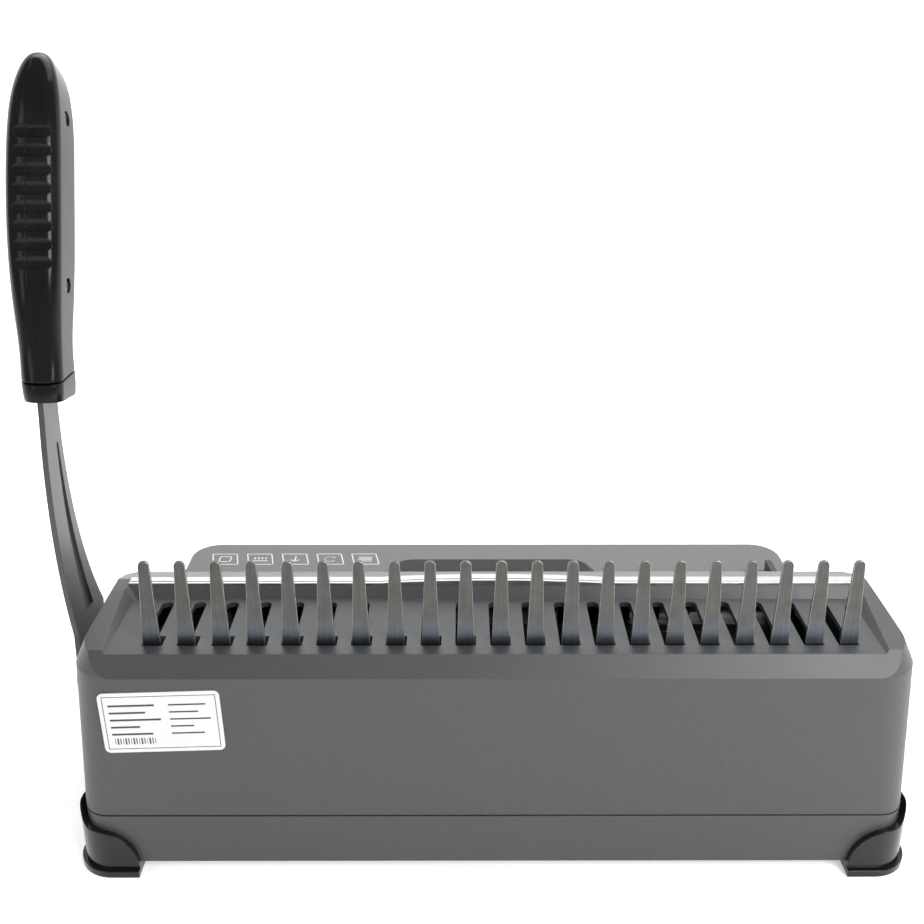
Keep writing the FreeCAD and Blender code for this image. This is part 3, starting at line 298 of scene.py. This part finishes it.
def label_stock(name, level):
    """Slightly uneven coated label film."""
    shader = Shader(name)
    fibre = shader.noise(420, detail=4)
    cloud = shader.noise(40, detail=2)
    shader.set("Base Color", shader.mix(cloud, grey(level * 0.96), grey(level)))
    shader.set("Roughness", shader.span(fibre, 0.38, 0.5))
    shader.relief(fibre, 0.06, 0.00002)
    return shader.material


BLUISH = (0.97, 1.0, 1.06)
PLAIN = (1.0, 1.0, 1.0)
LOOKS = {
    "casing_paint": painted("casing_coating", 0.057, BLUISH),
    "table_paint": painted("table_coating", 0.135, (1.0, 0.99, 0.985), rough=0.48),
    # The arm's last argument makes its painted edge highlight stronger.
    "arm_paint": painted("arm_coating", 0.062, BLUISH, rough=0.34, grain=1700, painted_highlight_gain=1.8),
    "gloss_black": gloss_moulding("gloss_black_moulding"),
    "boot_black": boot_rubber("boot_moulding"),
    "label_white": label_stock("label_film", 0.72),
    "bright_strip": steel("strip_metal", 0.6, PLAIN, 0.3, (0.03, 1, 1), streak=0.06),
    "plate_steel": steel("plated_sheet", 0.5, (0.97, 1.0, 1.03), 0.32, (0.04, 1, 1), spangle=0.25),
    "tool_steel": steel("ground_steel", 0.6, PLAIN, 0.2, (0.03, 1, 1), streak=0.12),
    "comb_steel": comb_steel("comb_sheet_steel"),
    "hook_steel": steel("hook_sheet_steel", 0.62, PLAIN, 0.24, (1, 1, 0.03), streak=0.12),
    "screw_steel": steel("screw_plating", 0.3, PLAIN, 0.24, (1, 1, 1), streak=0.08),
    "bush_brass": steel("bush_brass", 0.6, (1.0, 0.78, 0.4), 0.28, (0.05, 1, 1), streak=0.12),
    "slide_plastic": moulded("slide_moulding", 0.6, (1.0, 0.99, 0.94)),
    "tray_plastic": moulded("tray_moulding", 0.03, PLAIN),
}


def dress_cad_nodes():
    for row in frame["record"]["subparts"]:
        mesh = NODES[row["node"]].data
        mesh.materials.clear()
        mesh.materials.append(LOOKS[row["material_slot"]])


# ---------------------------------------------------------------- printed graphics


class Print:
    """Thin printed shapes on a flat surface, built as one mesh."""

    def __init__(self, place, thickness=0.04 * MM):
        self.mesh = bmesh.new()
        self.place = place
        self.thickness = thickness

    def area(self, points):
        low = [self.mesh.verts.new(self.place(u, v, 0.0)) for u, v in points]
        high = [self.mesh.verts.new(self.place(u, v, self.thickness)) for u, v in points]
        self.mesh.faces.new(high)
        self.mesh.faces.new(low[::-1])
        count = len(points)
        for i in range(count):
            j = (i + 1) % count
            self.mesh.faces.new((low[i], low[j], high[j], high[i]))

    def line(self, start, end, wide):
        a = Vector(start)
        b = Vector(end)
        along = (b - a).normalized() * wide / 2
        side = Vector((-along.y, along.x))
        corners = (a - along - side, b + along - side, b + along + side, a - along + side)
        self.area([tuple(corner) for corner in corners])

    def outline(self, points, wide, closed=True):
        ends = points[1:] + points[:1] if closed else points[1:]
        for start, end in zip(points, ends):
            self.line(start, end, wide)

    def build(self, name, body, material):
        bmesh.ops.recalc_face_normals(self.mesh, faces=self.mesh.faces)
        mesh = bpy.data.meshes.new(name)
        self.mesh.to_mesh(mesh)
        self.mesh.free()
        mesh.materials.append(material)
        thing = bpy.data.objects.new(name, mesh)
        bpy.context.scene.collection.objects.link(thing)
        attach(thing, body)
        return thing


def on_table(u, v, lift):
    """u runs towards the user's left and v towards the rear, in mm from the casing's middle."""
    return Vector((CASING_X - u * MM, v * MM, TABLE_TOP + lift))


def icon_boxes(prints):
    """Five slanted boxes, each with a plain step picture: sheet, holes, arrow, ring, stack."""
    wide = 13.4
    deep = 12.6
    slant = 2.6
    pitch = 19.3
    first_left = -151.8
    low = -82.3
    high = low + deep
    for i in range(5):
        left = first_left + i * pitch
        box = [
            (left, low), (left + wide, low), (left + wide + slant, high), (left + slant, high)
        ]
        prints.outline(box, 0.6)
        x = left + (wide + slant) / 2
        y = (low + high) / 2
        if i == 0:
            prints.outline([(x - 3, y - 3), (x + 3, y - 3), (x + 3, y + 3), (x - 3, y + 3)], 0.6)
        elif i == 1:
            prints.line((x - 4, y + 2), (x + 4, y + 2), 0.7)
            for step in (-3, -1, 1, 3):
                prints.line((x + step, y - 1.6), (x + step, y - 0.4), 0.8)
        elif i == 2:
            prints.line((x, y - 3.2), (x, y + 3), 0.7)
            prints.line((x - 2, y + 1), (x, y + 3), 0.7)
            prints.line((x + 2, y + 1), (x, y + 3), 0.7)
        elif i == 3:
            ring = [
                (x + 3 * math.cos(math.radians(a)), y + 3 * math.sin(math.radians(a)))
                for a in range(40, 321, 28)
            ]
            prints.outline(ring, 0.7, closed=False)
        else:
            for step in (-2.4, -0.8, 0.8, 2.4):
                prints.line((x - 3.4, y + step), (x + 3.4, y + step), 0.6)


def caption_bars(prints):
    """A broken rule under the boxes, where a caption would stand."""
    left = -140
    level = -58.2
    gap = 1.0
    for i in range(17):
        length = 2.4 + 1.6 * ((i * 7) % 3)
        prints.line((left, level), (left + length, level), 0.9)
        left += length + gap


def size_drawings(prints):
    """Thin outline drawings of sheets and a ruler, by the table's other side."""
    low = -60.5
    high = -47
    stroke = 0.6
    for left in (60, 84):
        sheet = [(left, low), (left + 16, low), (left + 19, high), (left + 3, high)]
        prints.outline(sheet, stroke)
        for i in range(4):
            u = left + 3 + i * 3.2
            prints.line((u, -58.8), (u + 0.6, -56), stroke)
    for left in (108, 112):
        prints.line((left, high - 1), (left + 26, low), stroke)
    prints.outline([(142, -60), (151, -60), (154, high), (145, high)], stroke)
    ruler_left = 64
    ruler_long = 88
    ticks = 16
    for i in range(ticks):
        u = ruler_left + i * ruler_long / (ticks - 1)
        long_tick = 0.8 * (i % 3 == 0)
        prints.line((u, -46), (u, -44.4 + long_tick), 0.4)


def table_graphics():
    prints = Print(on_table)
    icon_boxes(prints)
    caption_bars(prints)
    size_drawings(prints)
    prints.build("table_graphics", "housing", LOOKS["label_white"])


def rating_graphics():
    """Plain bars and a frame on the rear plate; nothing can be read."""
    # The plate itself leans by this angle.
    lean = math.radians(1.8)
    low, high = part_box("rating_plate")
    middle = (low + high) / 2

    def on_plate(u, v, lift):
        across = -u * math.cos(lean) + v * math.sin(lean)
        up = v * math.cos(lean) + u * math.sin(lean)
        return Vector((middle.x + across * MM, high.y + lift, middle.z + up * MM))

    dark = Print(on_plate, 0.03 * MM)
    half_wide = 23
    half_high = 12.4
    corners = [(-half_wide, -half_high), (half_wide, -half_high)]
    corners += [(half_wide, half_high), (-half_wide, half_high)]
    dark.outline(corners, 0.3)
    bars_left = -20.5
    second_left = 4
    for row, reach in enumerate((18, 14, 20, 11, 16)):
        height = 8.2 - row * 3.4
        dark.line((bars_left, height), (bars_left + reach, height), 0.9)
        dark.line((second_left, height), (second_left + reach * 0.8, height), 0.7)
    for i in range(16):
        u = -20 + i * 1.1
        stroke = 0.25 + 0.2 * ((i * 5) % 3)
        dark.line((u, -10), (u, -7.6), stroke)
    dark.build("rating_graphics", "housing", moulded("label_ink", 0.05, PLAIN))


# ---------------------------------------------------------------- floor, light and camera


def add_sweep():
    """A pale floor that curves up into a wall on the table's side of the machine."""
    half_wide = 7.0
    front = 3.0
    wall = 2.6
    curve = 1.2
    high = 5.0
    steps = 16
    profile = [(front, 0.0), (-wall + curve, 0.0)]
    for i in range(1, steps + 1):
        turn = math.radians(90 * i / steps)
        profile.append((-wall + curve - curve * math.sin(turn), curve * (1 - math.cos(turn))))
    profile.append((-wall, high))
    vertices = []
    for y, z in profile:
        vertices += [(-half_wide, y, z), (half_wide, y, z)]
    faces = [(2 * i, 2 * i + 1, 2 * i + 3, 2 * i + 2) for i in range(len(profile) - 1)]
    mesh = bpy.data.meshes.new("sweep")
    mesh.from_pydata(vertices, [], faces)
    mesh.polygons.foreach_set("use_smooth", [True] * len(faces))
    sweep = bpy.data.objects.new("sweep", mesh)
    # A hair below the boots, so that their undersides don't lie in the same plane.
    sweep.location.z = -0.2 * MM
    bpy.context.scene.collection.objects.link(sweep)
    mesh.materials.append(sweep_look())


def sweep_look():
    """White; it glows on the table's side of the machine and fades out towards the camera."""
    shader = Shader("pale_sweep")
    shader.set("Base Color", shader.mix(shader.noise(2.0), grey(0.9), grey(0.93)))
    shader.set("Roughness", 0.8)
    shader.set("Emission Color", grey(1.0))
    shader.set("Emission Strength", shader.along_axis("Y", -0.5, 0.9, low=0.75, high=0.05))
    return shader.material


def add_light(name, place, target, wide, high, power):
    """A rectangular lamp at place, turned towards target; sizes in metres, power in watts."""
    light = bpy.data.lights.new(name, "AREA")
    light.shape = "RECTANGLE"
    light.size = wide
    light.size_y = high
    light.energy = power
    lamp = bpy.data.objects.new(name, light)
    lamp.location = place
    aim = Vector(target) - Vector(place)
    lamp.rotation_mode = "QUATERNION"
    lamp.rotation_quaternion = aim.to_track_quat("-Z", "Y")
    bpy.context.scene.collection.objects.link(lamp)


def add_world():
    """A dim white surround, so that the gloss parts stay black."""
    world = bpy.data.worlds.new("studio")
    world.use_nodes = True
    bpy.context.scene.world = world
    back = world.node_tree.nodes["Background"]
    back.inputs["Color"].default_value = (1, 1, 1, 1)
    back.inputs["Strength"].default_value = 0.22


def add_camera():
    """Behind and above the machine, a little to the lever's side, looking down at its rear."""
    stand = Vector((CASING_X + 14.24 * MM, 490.4 * MM, 346.4 * MM))
    look_down = 21.65
    look_aside = 0.1
    pitch = Matrix.Rotation(math.radians(90 - look_down), 4, "X")
    heading = Matrix.Rotation(math.radians(180 - look_aside), 4, "Z")
    data = bpy.data.cameras.new("photo_camera")
    data.sensor_width = 36
    data.lens = 44.53
    data.clip_start = 0.01
    camera = bpy.data.objects.new("photo_camera", data)
    camera.matrix_world = Matrix.Translation(stand) @ heading @ pitch
    bpy.context.scene.collection.objects.link(camera)
    bpy.context.scene.camera = camera


dress_cad_nodes()
table_graphics()
rating_graphics()
add_sweep()
add_world()
casing_middle = (CASING_X, 0, 0.08)
rear_wall_left = (CASING_X - 0.12, 0.1, 0.06)
add_light("key", (-0.62, 0.85, 0.72), rear_wall_left, 0.5, 0.7, 13)
add_light("fill", (1.2, 1.1, 0.9), casing_middle, 0.5, 1.4, 4)
add_light("top", (-0.2, -0.8, 1.7), (0, -0.5, 0), 2.2, 1.2, 26)
bpy.context.scene.view_settings.view_transform = "Standard"
add_camera()
